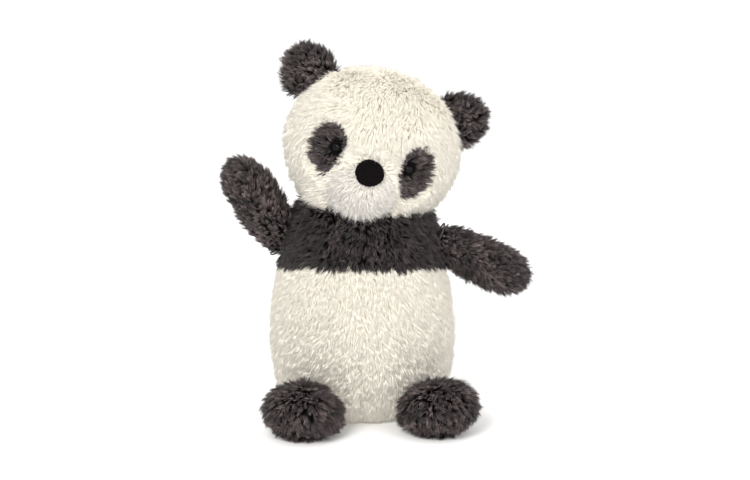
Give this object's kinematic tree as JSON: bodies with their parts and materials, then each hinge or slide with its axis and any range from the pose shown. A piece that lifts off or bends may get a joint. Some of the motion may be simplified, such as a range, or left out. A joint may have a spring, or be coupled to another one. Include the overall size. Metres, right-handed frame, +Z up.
{
  "type": "plush panda",
  "caption": "Seated plush panda with a round tilted head, dark ears, eye patches, chest band, arms and feet, cream belly, and a flat weighted base.",
  "frame": {"origin": "centre of the flat base panel's underside, on the ground", "axes": "+Z up; the face looks along -Y; +X is the toy's left hand side"},
  "size_m": [0.1792, 0.1408, 0.2172],
  "materials": {
    "cream_plush": "matte",
    "white_plush": "matte",
    "charcoal_plush": "matte",
    "bead": "gloss",
    "nose_suede": "matte",
    "fibrefill": "matte",
    "washer": "matte",
    "pellets": "matte",
    "lining": "matte",
    "dark_thread": "matte",
    "cream_thread": "matte"
  },
  "bodies": {
    "torso": {"chest_panel_front": "charcoal_plush", "chest_panel_back": "charcoal_plush", "belly_panel_front_left": "cream_plush", "belly_panel_front_right": "cream_plush", "belly_panel_back_left": "cream_plush", "belly_panel_back_right": "cream_plush", "base_panel": "cream_plush", "torso_stuffing": "fibrefill", "bean_pouch": "lining", "bean_pellets": "pellets", "back_closing_stitches": "cream_thread"},
    "neck_wad": {"neck_stuffing": "fibrefill"},
    "neck_tie": {"neck_gathering_thread": "dark_thread"},
    "head": {"face_panel_left": "cream_plush", "face_panel_right": "cream_plush", "head_panel_back_left": "cream_plush", "head_panel_back_right": "cream_plush", "muzzle_panel": "white_plush", "muzzle_stuffing": "fibrefill", "head_stuffing": "fibrefill", "eye_patch_left": "charcoal_plush", "eye_patch_right": "charcoal_plush", "eye_left": "bead", "eye_right": "bead", "eye_washer_left": "washer", "eye_washer_right": "washer", "nose_cover": "nose_suede", "nose_padding": "fibrefill", "nose_stitches": "dark_thread"},
    "ear_left": {"ear_left_front": "charcoal_plush", "ear_left_back": "charcoal_plush"},
    "ear_right": {"ear_right_front": "charcoal_plush", "ear_right_back": "charcoal_plush"},
    "shoulder_left": {"shoulder_stitches_left": "dark_thread"},
    "arm_left": {"arm_left_front": "charcoal_plush", "arm_left_back": "charcoal_plush", "arm_left_stuffing": "fibrefill"},
    "shoulder_right": {"shoulder_stitches_right": "dark_thread"},
    "arm_right": {"arm_right_front": "charcoal_plush", "arm_right_back": "charcoal_plush", "arm_right_stuffing": "fibrefill"},
    "foot_left": {"foot_left_upper": "charcoal_plush", "foot_left_sole": "charcoal_plush", "foot_left_stuffing": "fibrefill", "foot_left_stitches": "dark_thread"},
    "foot_right": {"foot_right_upper": "charcoal_plush", "foot_right_sole": "charcoal_plush", "foot_right_stuffing": "fibrefill", "foot_right_stitches": "dark_thread"}
  },
  "joints": [
    {"name": "neck_turn", "type": "hinge", "parent": "torso", "child": "neck_wad", "pos_m": [0.002, -0.004, 0.146], "axis": [0, 0, 1], "range_deg": [-25, 25]},
    {"name": "neck_nod", "type": "hinge", "parent": "neck_wad", "child": "neck_tie", "pos_m": [0.002, -0.004, 0.146], "axis": [1, 0, 0], "range_deg": [-10, 10]},
    {"name": "head_tilt", "type": "hinge", "parent": "neck_tie", "child": "head", "pos_m": [0.002, -0.004, 0.146], "axis": [0, 1, 0], "range_deg": [-28, 5]},
    {"name": "ear_left_fold", "type": "hinge", "parent": "head", "child": "ear_left", "pos_m": [0.05181, 0.004, 0.17054], "axis": [0.3898, 0, -0.9209], "range_deg": [-20, 20]},
    {"name": "ear_right_fold", "type": "hinge", "parent": "head", "child": "ear_right", "pos_m": [-0.02538, 0.004, 0.19434], "axis": [0.8389, 0, 0.5442], "range_deg": [-20, 20]},
    {"name": "arm_left_raise", "type": "hinge", "parent": "torso", "child": "shoulder_left", "pos_m": [0.0465, -0.001, 0.1004], "axis": [0, -1, 0], "range_deg": [-10, 55]},
    {"name": "arm_left_swing", "type": "hinge", "parent": "shoulder_left", "child": "arm_left", "pos_m": [0.0465, -0.001, 0.1004], "axis": [-0.4337, 0, -0.9011], "range_deg": [-13, 18]},
    {"name": "arm_right_raise", "type": "hinge", "parent": "torso", "child": "shoulder_right", "pos_m": [-0.0465, -0.001, 0.1004], "axis": [0, 1, 0], "range_deg": [-92, 3]},
    {"name": "arm_right_swing", "type": "hinge", "parent": "shoulder_right", "child": "arm_right", "pos_m": [-0.0465, -0.001, 0.1004], "axis": [0.8517, 0, 0.524], "range_deg": [-13, 18]},
    {"name": "foot_left_flex", "type": "hinge", "parent": "torso", "child": "foot_left", "pos_m": [0.03549, -0.03553, 0.015], "axis": [-0.9857, -0.1685, 0], "range_deg": [-8, 22]},
    {"name": "foot_right_flex", "type": "hinge", "parent": "torso", "child": "foot_right", "pos_m": [-0.029, -0.041, 0.015], "axis": [-1, 0, 0], "range_deg": [-8, 22]}
  ]
}
